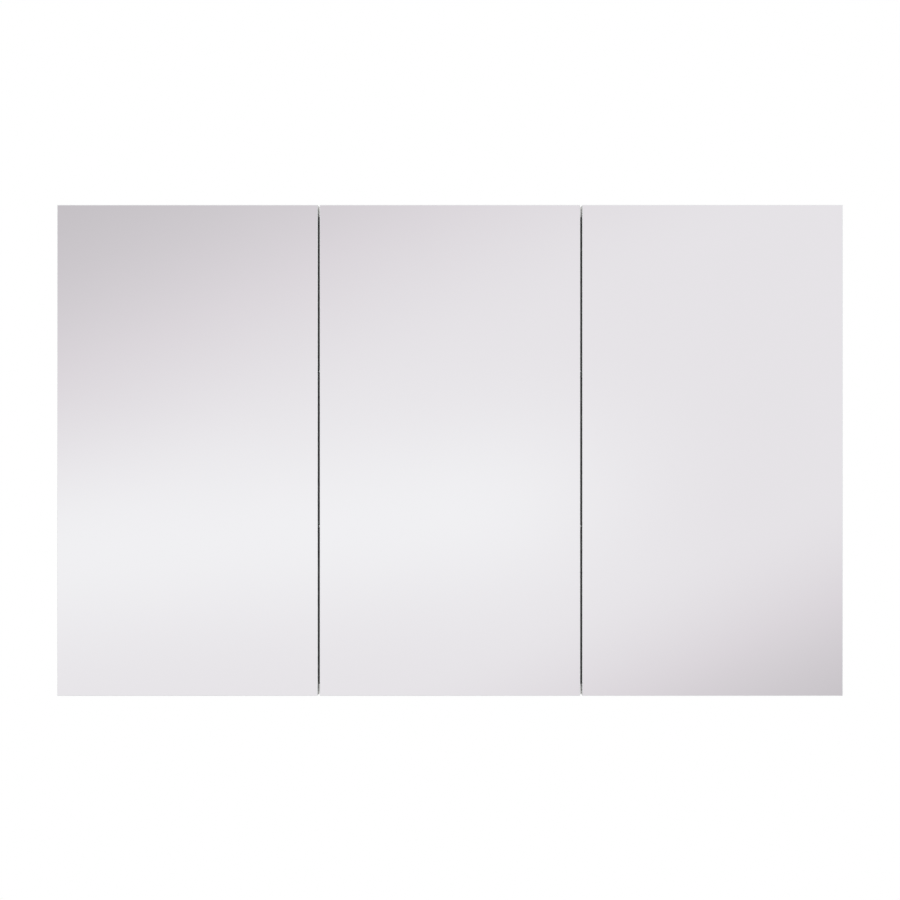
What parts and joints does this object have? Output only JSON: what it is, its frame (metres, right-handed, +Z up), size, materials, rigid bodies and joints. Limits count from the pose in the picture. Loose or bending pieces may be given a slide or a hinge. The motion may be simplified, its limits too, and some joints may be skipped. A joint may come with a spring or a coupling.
{
  "type": "medicine cabinet",
  "caption": "Wall-hung medicine cabinet with full mirror doors on concealed hinges, glass shelves inside and a rail that carries it on the wall.",
  "frame": {"origin": "middle of the wall rail's back face, on its screw line, in the plane of the wall", "axes": "+X to the right along the rail as a person faces the mirrors, +Y into the wall, +Z up"},
  "size_m": [1.2, 0.15, 0.75],
  "materials": {
    "carcass_board": "white melamine board",
    "door_board": "white melamine board",
    "back_board": "white lacquered hardboard",
    "mirror": "silvered float glass with polished edges",
    "foam_tape": "foam mirror tape",
    "shelf_glass": "clear toughened glass with polished edges",
    "nickel_steel": "nickel-plated pressed steel",
    "zinc_steel": "zinc-plated sheet steel",
    "white_plastic": "moulded white nylon"
  },
  "bodies": {
    "carcass": {"side_panel_left": "carcass_board", "side_panel_right": "carcass_board", "top_panel": "carcass_board", "bottom_panel": "carcass_board", "divider_left": "carcass_board", "divider_right": "carcass_board", "back_panel": "back_board", "wall_rail": "zinc_steel", "hanger_housing_left": "white_plastic", "hanger_housing_right": "white_plastic", "hanger_hook_left": "zinc_steel", "hanger_hook_right": "zinc_steel", "glass_shelf_left_lower": "shelf_glass", "glass_shelf_left_upper": "shelf_glass", "glass_shelf_middle_lower": "shelf_glass", "glass_shelf_middle_upper": "shelf_glass", "glass_shelf_right_lower": "shelf_glass", "glass_shelf_right_upper": "shelf_glass", "hinge_arm_left_upper": "nickel_steel", "hinge_arm_left_lower": "nickel_steel", "hinge_arm_middle_upper": "nickel_steel", "hinge_arm_middle_lower": "nickel_steel", "hinge_arm_right_upper": "nickel_steel", "hinge_arm_right_lower": "nickel_steel", "hinge_plate_left_upper": "nickel_steel", "hinge_plate_left_lower": "nickel_steel", "hinge_plate_middle_upper": "nickel_steel", "hinge_plate_middle_lower": "nickel_steel", "hinge_plate_right_upper": "nickel_steel", "hinge_plate_right_lower": "nickel_steel"},
    "inner_links_left": {"hinge_inner_link_left_upper": "nickel_steel", "hinge_inner_link_left_lower": "nickel_steel"},
    "door_left": {"door_panel_left": "door_board", "mirror_tape_left": "foam_tape", "mirror_left": "mirror", "hinge_cup_left_upper": "nickel_steel", "hinge_cup_left_lower": "nickel_steel"},
    "outer_links_left": {"hinge_outer_link_left_upper": "nickel_steel", "hinge_outer_link_left_lower": "nickel_steel"},
    "inner_links_middle": {"hinge_inner_link_middle_upper": "nickel_steel", "hinge_inner_link_middle_lower": "nickel_steel"},
    "door_middle": {"door_panel_middle": "door_board", "mirror_tape_middle": "foam_tape", "mirror_middle": "mirror", "hinge_cup_middle_upper": "nickel_steel", "hinge_cup_middle_lower": "nickel_steel"},
    "outer_links_middle": {"hinge_outer_link_middle_upper": "nickel_steel", "hinge_outer_link_middle_lower": "nickel_steel"},
    "inner_links_right": {"hinge_inner_link_right_upper": "nickel_steel", "hinge_inner_link_right_lower": "nickel_steel"},
    "door_right": {"door_panel_right": "door_board", "mirror_tape_right": "foam_tape", "mirror_right": "mirror", "hinge_cup_right_upper": "nickel_steel", "hinge_cup_right_lower": "nickel_steel"},
    "outer_links_right": {"hinge_outer_link_right_upper": "nickel_steel", "hinge_outer_link_right_lower": "nickel_steel"}
  },
  "joints": [
    {"name": "inner_link_pivot_left", "type": "hinge", "parent": "carcass", "child": "inner_links_left", "pos_m": [-0.5681, -0.107, -0.319], "axis": [0, 0, -1], "range_deg": [-22, 0]},
    {"name": "door_pivot_left", "type": "hinge", "parent": "inner_links_left", "child": "door_left", "pos_m": [-0.5906, -0.1362, -0.319], "axis": [0, 0, -1], "range_deg": [0, 121.4]},
    {"name": "outer_link_pivot_left", "type": "hinge", "parent": "carcass", "child": "outer_links_left", "pos_m": [-0.568, -0.1317, -0.319], "axis": [0, 0, -1], "range_deg": [-33, 0]},
    {"name": "inner_link_pivot_middle", "type": "hinge", "parent": "carcass", "child": "inner_links_middle", "pos_m": [-0.1671, -0.107, -0.319], "axis": [0, 0, -1], "range_deg": [-22, 0]},
    {"name": "door_pivot_middle", "type": "hinge", "parent": "inner_links_middle", "child": "door_middle", "pos_m": [-0.1896, -0.1362, -0.319], "axis": [0, 0, -1], "range_deg": [0, 121.4]},
    {"name": "outer_link_pivot_middle", "type": "hinge", "parent": "carcass", "child": "outer_links_middle", "pos_m": [-0.167, -0.1317, -0.319], "axis": [0, 0, -1], "range_deg": [-33, 0]},
    {"name": "inner_link_pivot_right", "type": "hinge", "parent": "carcass", "child": "inner_links_right", "pos_m": [0.5681, -0.107, -0.319], "axis": [0, 0, 1], "range_deg": [-22, 0]},
    {"name": "door_pivot_right", "type": "hinge", "parent": "inner_links_right", "child": "door_right", "pos_m": [0.5906, -0.1362, -0.319], "axis": [0, 0, 1], "range_deg": [0, 121.4]},
    {"name": "outer_link_pivot_right", "type": "hinge", "parent": "carcass", "child": "outer_links_right", "pos_m": [0.568, -0.1317, -0.319], "axis": [0, 0, 1], "range_deg": [-33, 0]}
  ],
  "couplings": [
    {"joint": "inner_link_pivot_left", "follows": "door_pivot_left", "ratio": -0.17628},
    {"joint": "outer_link_pivot_left", "follows": "door_pivot_left", "ratio": -0.26359},
    {"joint": "inner_link_pivot_middle", "follows": "door_pivot_middle", "ratio": -0.17628},
    {"joint": "outer_link_pivot_middle", "follows": "door_pivot_middle", "ratio": -0.26359},
    {"joint": "inner_link_pivot_right", "follows": "door_pivot_right", "ratio": -0.17628},
    {"joint": "outer_link_pivot_right", "follows": "door_pivot_right", "ratio": -0.26359}
  ]
}
